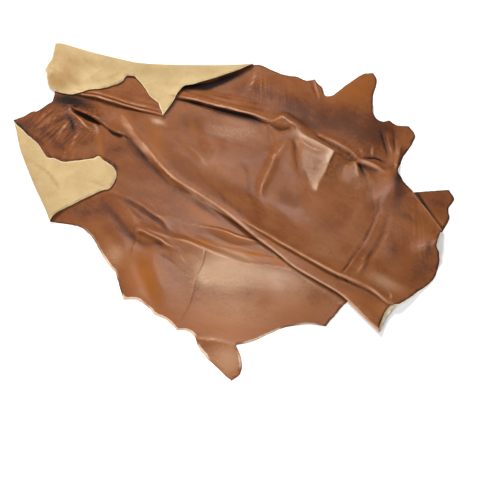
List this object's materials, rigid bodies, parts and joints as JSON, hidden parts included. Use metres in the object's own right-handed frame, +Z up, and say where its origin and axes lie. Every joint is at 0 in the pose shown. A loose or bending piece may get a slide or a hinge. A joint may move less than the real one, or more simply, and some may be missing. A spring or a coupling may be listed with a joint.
{
  "type": "leather hide",
  "caption": "Whole tanned cowhide lying spread out grain side up, with two edges turned over to the flesh side and a long pleat across it; material for upholstery and leather goods.",
  "frame": {"origin": "middle of the laid hide's outline box, on the surface that it lies on", "axes": "+Z up from the surface; +X along the laid hide's longer way, towards the end with the small tucked tab; +Y towards the long edge that is turned over"},
  "size_m": [2.1174, 1.9212, 0.0519],
  "materials": {
    "leather": "semi-gloss finished grain, warm brown; the flesh side is pale tan suede"
  },
  "bodies": {
    "root": {"hide": "leather"}
  },
  "joints": []
}
